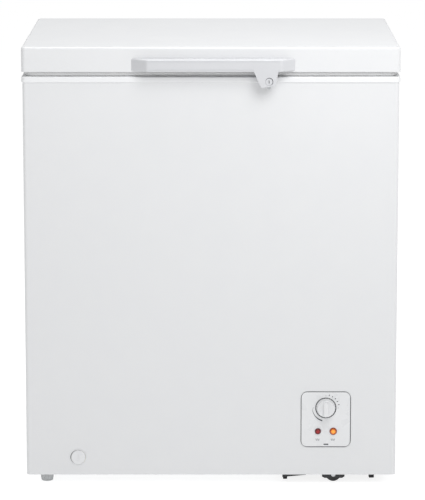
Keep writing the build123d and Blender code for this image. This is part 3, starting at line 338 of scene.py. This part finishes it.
# ---- Control panel ------------------------------------------------------------------------
# Glossy white ABS plate clipped into the front, with printed dial marks round the thermostat knob
# and two lamps below. The knob is a separate moulding of the same plastic on a brass shaft.
white_abs, place = new_finish("glossy white ABS")
flow = add(white_abs, "TexNoise", Vector=place, Scale=35.0, Detail=3.0)
speck = add(white_abs, "TexNoise", Vector=place, Scale=1100.0, Detail=2.0)
tint = add(white_abs, "Mix", data_type="RGBA", in0=flow, in6=linear("#DEDFE1"), in7=linear("#E2E3E4"))
sheen = add(white_abs, "MapRange", Value=flow, To_Min=0.24, To_Max=0.32)
polished = add(white_abs, "Bump", Strength=0.15, Distance=0.00003, Height=speck)
shader = add(white_abs, "BsdfPrincipled", Base_Color=tint.outputs[2], Roughness=sheen, Normal=polished,
             IOR=1.53)
add(white_abs, "OutputMaterial", Surface=shader)
coat(white_abs, ["control_bezel", "control_knob", "vent_grille", "drain_escutcheon", "drain_spout",
                 "drain_dial"])

printed_ink, place = new_finish("grey pad-printed ink")
edge = add(printed_ink, "TexNoise", Vector=place, Scale=1500.0, Detail=3.0)
tint = add(printed_ink, "Mix", data_type="RGBA", in0=edge, in6=linear("#484B50"), in7=linear("#5C5F64"))
shader = add(printed_ink, "BsdfPrincipled", Base_Color=tint.outputs[2], Roughness=0.55)
add(printed_ink, "OutputMaterial", Surface=shader)
panel_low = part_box("control_bezel")[0]
knob_low, knob_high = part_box("control_knob")
dial_x, dial_z = (knob_low.x + knob_high.x) / 2, (knob_low.z + knob_high.z) / 2
ink_y = panel_low.y - 0.00006


def printed_arc(start, end, inner, outer, steps=28):
    """A flat mark round the dial from one angle to another, in degrees, between two radii that may vary.

    A point is (dial_x + r cos a, ink_y, dial_z + r sin a).
    """
    a = np.radians(np.linspace(start, end, steps))
    r = np.stack([inner + 0 * a, outer + 0 * a], axis=0)
    points = np.stack([dial_x + r * np.cos(a), np.full_like(r, ink_y), dial_z + r * np.sin(a)], axis=-1)
    return skin(points, facing=(0, -1, 0))


def printed_bar(x, z, width, height):
    """A flat printed bar about a point on the panel."""
    x = x + np.array([[-0.5, 0.5], [-0.5, 0.5]]) * width
    z = z + np.array([[-0.5, -0.5], [0.5, 0.5]]) * height
    return skin(np.stack([x, np.full_like(x, ink_y), z], axis=-1), facing=(0, -1, 0))


# The wedge that says colder grows from nine o'clock down to half past six.
wedge_radius = 0.0259
growing = np.linspace(0.0002, 0.0027, 28)
marks = [printed_arc(180, 255, wedge_radius - growing / 2, wedge_radius + growing / 2)]
marks += [printed_arc(a - 1.7, a + 1.7, 0.0244, 0.0270, steps=3) for a in (15, 30, 45, 60, 75)]
marks += [printed_arc(a - 1.3, a + 1.3, 0.0232, 0.0243, steps=3) for a in (0, 90, 180)]
upper_line, lower_line = 0.0155, 0.0176
for low, high in (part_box("red_lamp"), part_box("amber_lamp")):
    x, z = (low.x + high.x) / 2, (low.z + high.z) / 2
    marks += [printed_bar(x + dx, z - upper_line, 0.0021, 0.0011) for dx in (-0.0035, -0.0008, 0.0022)]
    marks += [printed_bar(x + dx, z - lower_line, 0.0026, 0.0010) for dx in (-0.0024, 0.0012)]
plain_bar_drop = 0.0720
marks += [printed_bar(dial_x + 0.0006, dial_z - plain_bar_drop, 0.0090, 0.0026)]
piece("panel_prints", marks, printed_ink, "cabinet")

# A painted shadow for the dark gap round the knob, broken into scallops as the ribs moulded on the skirt's
# edge would break it.
a = np.linspace(0, 2 * np.pi, 289)
rib_count = 24
ring = np.stack([0.0189 + 0.0005 * np.cos(rib_count * a), np.full_like(a, 0.0203)], axis=0)
gap = np.stack([dial_x + ring * np.cos(a), np.full_like(ring, panel_low.y + 0.0004),
                dial_z + ring * np.sin(a)], axis=-1)
piece("knob_painted_shadow_ring", [skin(gap, facing=(0, -1, 0))], gap_shadow_paint, "cabinet")

# A painted shadow in the gap between plate and sheet: the plate's rounded outline carried outwards, just
# under the paint.
face = np.array([v.co[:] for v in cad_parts["control_bezel"].data.vertices])
plate_thickness = 0.0012
plate_corner = 0.012
face = face[face[:, 1] < panel_low.y + plate_thickness]
face_low, face_high = face.min(axis=0), face.max(axis=0)
band = np.array([(-0.0002, 0.0), (0.0013, 0.0)])
line = ring_round(band, (face_low[0], face_low[2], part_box("outer_shell")[0].y + 0.0003),
                  (face_high[0], face_high[2], 0.0), 0.0, plate_corner)[..., [0, 2, 1]]
piece("panel_painted_shadow_line", [skin(line, round_rows=True, facing=(0, -1, 0))], gap_shadow_paint, "cabinet")

# The drain cap's gap has a painted shadow: a dark crescent on the side away from the light.
drain_low, drain_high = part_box("drain_dial")
drain_mid = (drain_low + drain_high) / 2
cap = (drain_high.x - drain_low.x) / 2
a = np.radians(np.linspace(105, 250, 40))
ring = np.stack([np.full_like(a, cap), cap + 0.0013 * np.sin((a - a[0]) / (a[-1] - a[0]) * np.pi)], axis=0)
shade_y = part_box("drain_escutcheon")[0].y - 0.00008
shade = np.stack([drain_mid.x + ring * np.cos(a), np.full_like(ring, shade_y),
                  drain_mid.z + ring * np.sin(a)], axis=-1)
piece("drain_painted_shadow", [skin(shade, facing=(0, -1, 0))], gap_shadow_paint, "cabinet")


# ---- Lamps --------------------------------------------------------------------------------
# Clear polycarbonate lenses tinted through, with moulded rings that spread the light. The amber
# one shows that the power is on, so its middle glows; the red one is off, so its bright middle and faint glow
# are painted light.
def lens(name, node, deep, bright, glow):
    """A tinted lens: bright in the middle, deep towards its rim, with fine rings round its centre."""
    low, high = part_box(node)
    middle = (low + high) / 2
    radius = (high.x - low.x) / 2
    finish, place = new_finish(name)
    centred = add(finish, "Mapping", vector_type="POINT", Vector=place,
                  Location=(-middle.x / radius, 0.0, -middle.z / radius), Scale=(1 / radius, 0.0, 1 / radius))
    reach = add(finish, "VectorMath", operation="LENGTH", in0=centred).outputs["Value"]
    rings = add(finish, "Math", operation="SINE",
                in0=add(finish, "Math", operation="MULTIPLY", in0=reach, in1=26.0))
    fade = add(finish, "MapRange", interpolation_type="SMOOTHSTEP", Value=reach, From_Min=0.15, From_Max=0.95)
    tint = add(finish, "Mix", data_type="RGBA", in0=fade, in6=linear(bright), in7=linear(deep))
    ringed = add(finish, "Bump", Strength=0.4, Distance=0.0003, Height=rings)
    light = add(finish, "MapRange", Value=fade, To_Min=glow, To_Max=0.0)
    shader = add(finish, "BsdfPrincipled", Base_Color=tint.outputs[2], Roughness=0.12, Normal=ringed,
                 IOR=1.58, Emission_Color=tint.outputs[2], Emission_Strength=light)
    add(finish, "OutputMaterial", Surface=shader)
    coat(finish, [node])


# The red lens's bright middle and its glow of 0.03 are painted light; only the amber lens is lit.
lens("red tinted polycarbonate", "red_lamp", "#55060D", "#A0040F", 0.03)
lens("amber tinted polycarbonate", "amber_lamp", "#8A2E06", "#FF9A35", 0.55)


# ---- Grey and black mouldings -------------------------------------------------------------
# The feet, drain pipe, plug and switch housing are grey polypropylene, slightly waxy. Covers,
# wheels and followers are black nylon, and the stops and compressor mounts are soft rubber.
grey_pp, place = new_finish("grey polypropylene")
swirl = add(grey_pp, "TexNoise", Vector=place, Scale=80.0, Detail=4.0, Distortion=0.6)
tint = add(grey_pp, "Mix", data_type="RGBA", in0=swirl, in6=linear("#A9ABAD"), in7=linear("#B9BBBC"))
sheen = add(grey_pp, "MapRange", Value=swirl, To_Min=0.38, To_Max=0.5)
waxy = add(grey_pp, "Bump", Strength=0.25, Distance=0.0001, Height=swirl)
shader = add(grey_pp, "BsdfPrincipled", Base_Color=tint.outputs[2], Roughness=sheen, Normal=waxy, IOR=1.49)
add(grey_pp, "OutputMaterial", Surface=shader)
coat(grey_pp, ["foot_front_left", "foot_rear_left", "drain_tube", "drain_plug", "thermostat_body",
               "lamp_holders"])

black_nylon, place = new_finish("black moulded nylon")
scuff = add(black_nylon, "TexNoise", Vector=place, Scale=120.0, Detail=5.0, Roughness=0.7)
tint = add(black_nylon, "Mix", data_type="RGBA", in0=scuff, in6=linear("#1B1C1E"), in7=linear("#2A2B2D"))
sheen = add(black_nylon, "MapRange", Value=scuff, To_Min=0.4, To_Max=0.6)
shader = add(black_nylon, "BsdfPrincipled", Base_Color=tint.outputs[2], Roughness=sheen)
add(black_nylon, "OutputMaterial", Surface=shader)
coat(black_nylon, ["compressor_cover", "cord_gland", "roller_wheel_front", "roller_wheel_rear",
                   "hinge_plunger_left", "hinge_plunger_right"])

black_rubber, place = new_finish("black rubber")
dust = add(black_rubber, "TexNoise", Vector=place, Scale=300.0, Detail=4.0)
tint = add(black_rubber, "Mix", data_type="RGBA", in0=dust, in6=linear("#171718"), in7=linear("#2E2E2F"))
matt = add(black_rubber, "Bump", Strength=0.3, Distance=0.0001, Height=dust)
shader = add(black_rubber, "BsdfPrincipled", Base_Color=tint.outputs[2], Roughness=0.85, Normal=matt)
add(black_rubber, "OutputMaterial", Surface=shader)
coat(black_rubber, ["tray_stops", "compressor_grommets"])


# ---- Black steel --------------------------------------------------------------------------
# Tray, brackets, rear cover, compressor and condenser are dipped in black electrocoat: thin, even,
# half-matte, and greyer where the sheet's edge shows through.
dipped_black, place = new_finish("black electrocoated steel")
mottle = add(dipped_black, "TexNoise", Vector=place, Scale=40.0, Detail=5.0, Roughness=0.6)
peel = add(dipped_black, "TexNoise", Vector=place, Scale=650.0, Detail=2.0)
tint = add(dipped_black, "Mix", data_type="RGBA", in0=mottle, in6=linear("#1A1B1D"), in7=linear("#2B2C2E"))
sheen = add(dipped_black, "MapRange", Value=mottle, To_Min=0.32, To_Max=0.5)
dimpled = add(dipped_black, "Bump", Strength=0.3, Distance=0.00006, Height=peel)
shader = add(dipped_black, "BsdfPrincipled", Base_Color=tint.outputs[2], Roughness=sheen, Normal=dimpled)
add(dipped_black, "OutputMaterial", Surface=shader)
coat(dipped_black, ["condenser_coil", "compressor_tray", "compressor_shell", "rear_cover",
                    "roller_brackets"])


# ---- Zinc-plated hardware -----------------------------------------------------------------
# Hinges, pins, springs and catches are pressed or turned steel with bright zinc plate, which dulls
# in soft blue-grey patches. The screws are panheads with a cross recess, driven after painting.
zinc_plate, place = new_finish("zinc-plated steel")
patch = add(zinc_plate, "TexNoise", Vector=place, Scale=55.0, Detail=5.0, Roughness=0.6)
draw = add(zinc_plate, "Mapping", Vector=place, Scale=(900.0, 900.0, 60.0))
line = add(zinc_plate, "TexNoise", Vector=draw, Scale=1.0, Detail=2.0)
tint = add(zinc_plate, "Mix", data_type="RGBA", in0=patch, in6=linear("#B3B6BA"), in7=linear("#CFD0D1"))
sheen = add(zinc_plate, "MapRange", Value=patch, To_Min=0.26, To_Max=0.44)
lined = add(zinc_plate, "Bump", Strength=0.12, Distance=0.00004, Height=line)
shader = add(zinc_plate, "BsdfPrincipled", Base_Color=tint.outputs[2], Metallic=1.0, Roughness=sheen,
             Normal=lined)
add(zinc_plate, "OutputMaterial", Surface=shader)
coat(zinc_plate, ["compressor_bolts", "roller_axles", "lock_cam", "lock_keeper", "hinge_pins",
                  "hinge_springs", "hinge_arm_left", "hinge_arm_right", "hinge_base_left",
                  "hinge_base_right"])


def islands(node):
    """Lowest and highest corners of each separate solid of a CAD node, from its merged mesh's islands."""
    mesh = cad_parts[node].data
    co = np.empty(len(mesh.vertices) * 3)
    mesh.vertices.foreach_get("co", co)
    co = co.reshape(-1, 3)
    edges = np.empty(len(mesh.edges) * 2, int)
    mesh.edges.foreach_get("vertices", edges)
    _, same = np.unique(np.round(co, 6), axis=0, return_inverse=True)
    same = same.ravel()
    label = np.arange(same.max() + 1)
    a, b = same[edges.reshape(-1, 2)].T
    for _ in range(400):
        lowest = np.minimum(label[a], label[b])
        before = label.copy()
        np.minimum.at(label, a, lowest)
        np.minimum.at(label, b, lowest)
        if (label == before).all():
            break
    group = label[same]
    return [(co[group == g].min(axis=0), co[group == g].max(axis=0)) for g in np.unique(group)]


def panhead(centre, outward, radius, height):
    """A domed screw head whose cross recess is pressed in.

    Forward is height (1 - 0.45 s^2) with s the share of the radius, less a recess of 0.6 height
    where either of two crossed slots lies, fading over a third of its width.
    """
    s = np.concatenate([np.linspace(0.0, 0.9, 13), [0.97, 1.0, 1.0]])[:, None]
    a = np.linspace(0, 2 * np.pi, 32, endpoint=False)[None, :]
    x, z = radius * s * np.cos(a), radius * s * np.sin(a)
    across, along = np.abs(x), np.abs(z)
    arm = np.minimum(np.maximum(across / 0.55, along / 0.16), np.maximum(across / 0.16, along / 0.55))
    slot = np.clip((1.15 - arm / radius) / 0.35, 0, 1)
    forward = height * (1 - 0.45 * s ** 2) - 0.6 * height * slot
    forward[-1] = 0.0
    y = outward * forward
    return skin(np.stack([x, y, z], axis=-1) + np.array(centre), round_columns=True, ends=True)


head_height = 0.0018
shank_length = 0.010
for node, body in (("panel_screws", "cabinet"), ("lid_screws", "lid")):
    heads = []
    for low, high in islands(node):
        middle = (low + high) / 2
        radius = (high[0] - low[0]) / 2
        outward = 1 if middle[1] > 0 else -1
        seat = (high[1] if outward > 0 else low[1]) - outward * head_height
        heads.append(panhead((middle[0], seat, middle[2]), outward, radius, head_height))
        depth = shank_length * outward
        shank = turned([(radius * 0.5, 0.0), (radius * 0.5, depth), (radius * 0.25, 1.15 * depth)],
                       (middle[0], seat, middle[2]), 16)
        heads.append(skin(shank, round_columns=True, ends=True))
    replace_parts(piece(node + "_heads", heads, zinc_plate, body, crease=50.0), node)


# ---- Refrigerant tubes --------------------------------------------------------------------
# Soft-drawn copper between the compressor, drier and coils, browned a little by brazing heat, and
# bare aluminium round the tub. The switch shaft is turned brass.
drawn_copper, place = new_finish("drawn copper")
stain = add(drawn_copper, "TexNoise", Vector=place, Scale=45.0, Detail=5.0, Roughness=0.65)
tint = add(drawn_copper, "Mix", data_type="RGBA", in0=stain, in6=linear("#8E5234"), in7=linear("#D08A63"))
sheen = add(drawn_copper, "MapRange", Value=stain, To_Min=0.45, To_Max=0.25)
shader = add(drawn_copper, "BsdfPrincipled", Base_Color=tint.outputs[2], Metallic=1.0, Roughness=sheen)
add(drawn_copper, "OutputMaterial", Surface=shader)
coat(drawn_copper, ["discharge_tube", "suction_tube", "filter_drier", "capillary_tube"])

drawn_aluminium, place = new_finish("drawn aluminium tube")
haze = add(drawn_aluminium, "TexNoise", Vector=place, Scale=60.0, Detail=4.0)
tint = add(drawn_aluminium, "Mix", data_type="RGBA", in0=haze, in6=linear("#B9BCC0"), in7=linear("#D3D5D7"))
sheen = add(drawn_aluminium, "MapRange", Value=haze, To_Min=0.3, To_Max=0.5)
shader = add(drawn_aluminium, "BsdfPrincipled", Base_Color=tint.outputs[2], Metallic=1.0, Roughness=sheen)
add(drawn_aluminium, "OutputMaterial", Surface=shader)
coat(drawn_aluminium, ["evaporator_coil"])

turned_brass, place = new_finish("turned brass")
lathe = add(turned_brass, "Mapping", Vector=place, Scale=(30.0, 1 / 0.0003, 30.0))
groove = add(turned_brass, "TexNoise", Vector=lathe, Scale=1.0, Detail=1.0)
tint = add(turned_brass, "Mix", data_type="RGBA", in0=groove, in6=linear("#B08D45"), in7=linear("#CFAE62"))
shader = add(turned_brass, "BsdfPrincipled", Base_Color=tint.outputs[2], Metallic=1.0, Roughness=0.3)
add(turned_brass, "OutputMaterial", Surface=shader)
coat(turned_brass, ["thermostat_shaft"])


# ---- Basket -------------------------------------------------------------------------------
# Steel wire welded at every crossing and dipped in white plastic, which rounds the joints. Two
# wide loops at the ends hang on the ledges at the front and back of the tub.
basket_low, basket_high = (np.array(corner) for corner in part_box("basket"))
dipped_wire, place = new_finish("white plastic-dipped wire")
drip = add(dipped_wire, "TexNoise", Vector=place, Scale=140.0, Detail=3.0)
tint = add(dipped_wire, "Mix", data_type="RGBA", in0=drip, in6=linear("#E2E3E4"), in7=linear("#EDEDED"))
sheen = add(dipped_wire, "MapRange", Value=drip, To_Min=0.3, To_Max=0.45)
lumpy = add(dipped_wire, "Bump", Strength=0.4, Distance=0.0002, Height=drip)
shader = add(dipped_wire, "BsdfPrincipled", Base_Color=tint.outputs[2], Roughness=sheen, Normal=lumpy)
add(dipped_wire, "OutputMaterial", Surface=shader)


def bent_path(corners, radius, loop=False, steps=6):
    """Straight runs through corners, each square corner rounded by an arc.

    With d and e the directions in and out, the arc is corner + r (e - d) + r (d sin a - e cos a).
    """
    corners = np.array(corners, float)
    a = np.linspace(0, np.pi / 2, steps)[:, None]
    path = [] if loop else [corners[:1]]
    for i in range(0 if loop else 1, len(corners) - (0 if loop else 1)):
        here, after = corners[i], corners[(i + 1) % len(corners)]
        d = (here - corners[i - 1]) / np.linalg.norm(here - corners[i - 1])
        e = (after - here) / np.linalg.norm(after - here)
        path.append(here + radius * (e - d) + radius * (d * np.sin(a) - e * np.cos(a)))
    return np.vstack(path + ([] if loop else [corners[-1:]]))


def wire(path, across, radius, loop=False, sides=8):
    """A round wire along a flat path: each ring is point + radius (side cos a + across sin a).

    across is the unit normal of the path's plane, and side is across times the direction.
    """
    ahead = np.roll(path, -1, axis=0) - np.roll(path, 1, axis=0) if loop else np.gradient(path, axis=0)
    ahead = ahead / np.linalg.norm(ahead, axis=1)[:, None]
    side = np.cross(np.array(across, float), ahead)
    a = np.linspace(0, 2 * np.pi, sides, endpoint=False)[None, :, None]
    ring = side[:, None] * np.cos(a) + np.array(across, float) * np.sin(a)
    return skin(path[:, None] + radius * ring, round_rows=loop, round_columns=True, ends=not loop)


rim_radius = 0.0025
wire_radius = 0.0016
x0, x1 = basket_low[0] + rim_radius, basket_high[0] - rim_radius
y0, y1 = basket_low[1] + 0.015 + rim_radius, basket_high[1] - 0.015 - rim_radius
floor_z, rim_z = basket_low[2] + wire_radius, basket_high[2] - rim_radius
wires = [wire(bent_path([(x0, y0, rim_z), (x1, y0, rim_z), (x1, y1, rim_z), (x0, y1, rim_z)], 0.012, True),
              (0, 0, 1), rim_radius, True)]
for y, hang in ((y0, basket_low[1] + rim_radius), (y1, basket_high[1] - rim_radius)):
    left, right = x0 + 0.014, x1 - 0.014
    hook = [(left, y, rim_z), (left, hang, rim_z), (right, hang, rim_z), (right, y, rim_z)]
    wires.append(wire(bent_path(hook, 0.006), (0, 0, 1), rim_radius))
step = 2 * wire_radius
for z in np.linspace(floor_z + 0.045, rim_z - 0.035, 3):
    inner = [(x0 + step, y0 + step, z), (x1 - step, y0 + step, z), (x1 - step, y1 - step, z),
             (x0 + step, y1 - step, z)]
    wires.append(wire(bent_path(inner, 0.009, True), (0, 0, 1), wire_radius, True))
for y in np.linspace(y0 + 0.016, y1 - 0.016, 17):
    drop = [(x0, y, rim_z), (x0, y, floor_z), (x1, y, floor_z), (x1, y, rim_z)]
    wires.append(wire(bent_path(drop, 0.010), (0, 1, 0), wire_radius))
for x in np.linspace(x0 + 0.022, x1 - 0.022, 7):
    drop = [(x, y0, rim_z), (x, y0, floor_z + step), (x, y1, floor_z + step), (x, y1, rim_z)]
    wires.append(wire(bent_path(drop, 0.010), (1, 0, 0), wire_radius))
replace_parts(piece("basket_wires", wires, dipped_wire, "basket", crease=60.0), "basket")


# ---- Floor, light and camera --------------------------------------------------------------
# A pale sheet lit from below as well as above, so that it stays even under the cabinet.
paper, place = new_finish("pale backlit sheet")
fibre = add(paper, "TexNoise", Vector=place, Scale=3.0, Detail=2.0)
tint = add(paper, "Mix", data_type="RGBA", in0=fibre, in6=linear("#9E9E9E"), in7=linear("#A2A2A2"))
shader = add(paper, "BsdfPrincipled", Base_Color=tint.outputs[2], Roughness=0.9, Specular_IOR_Level=0.0,
             Emission_Color=linear("#FFFFFF"), Emission_Strength=0.84)
add(paper, "OutputMaterial", Surface=shader)
reach = 40.0
ground = bpy.data.meshes.new("floor")
ground.from_pydata([(-reach, -reach, 0), (reach, -reach, 0), (reach, reach, 0), (-reach, reach, 0)], [],
                   [(0, 1, 2, 3)])
ground.materials.append(paper)
ground = bpy.data.objects.new("floor", ground)
bpy.context.scene.collection.objects.link(ground)

world = bpy.data.worlds.new("studio")
world.use_nodes = True
world.node_tree.nodes["Background"].inputs["Color"].default_value = (1.0, 1.0, 1.0, 1.0)
world.node_tree.nodes["Background"].inputs["Strength"].default_value = 0.45
bpy.context.scene.world = world


def softbox(name, place, target, size, power):
    """A square area light that looks from one point to another."""
    lamp = bpy.data.lights.new(name, "AREA")
    lamp.size = size
    lamp.energy = power
    holder = bpy.data.objects.new(name, lamp)
    holder.location = place
    aim = np.array(target) - np.array(place)
    holder.rotation_euler = Vector(aim).to_track_quat("-Z", "Y").to_euler()
    bpy.context.scene.collection.objects.link(holder)


softbox("key_light", (0.5, -1.25, 1.75), (0.05, -0.2, 0.6), 0.9, 14.0)
softbox("top_light", (0.0, 0.3, 3.2), (0.0, 0.1, 0.85), 2.2, 46.0)

eye = bpy.data.cameras.new("camera")
eye.lens = 204.49
eye.sensor_width = 36.0
eye.shift_x = -0.0141
eye.shift_y = -0.10
eye.clip_end = 200.0
camera = bpy.data.objects.new("camera", eye)
camera.location = (0.0165, -5.5821, 1.4636)
camera.rotation_euler = (radians(90 - 9.6597), 0.0, 0.0)
bpy.context.scene.collection.objects.link(camera)
bpy.context.scene.camera = camera
bpy.context.scene.view_settings.view_transform = "Standard"
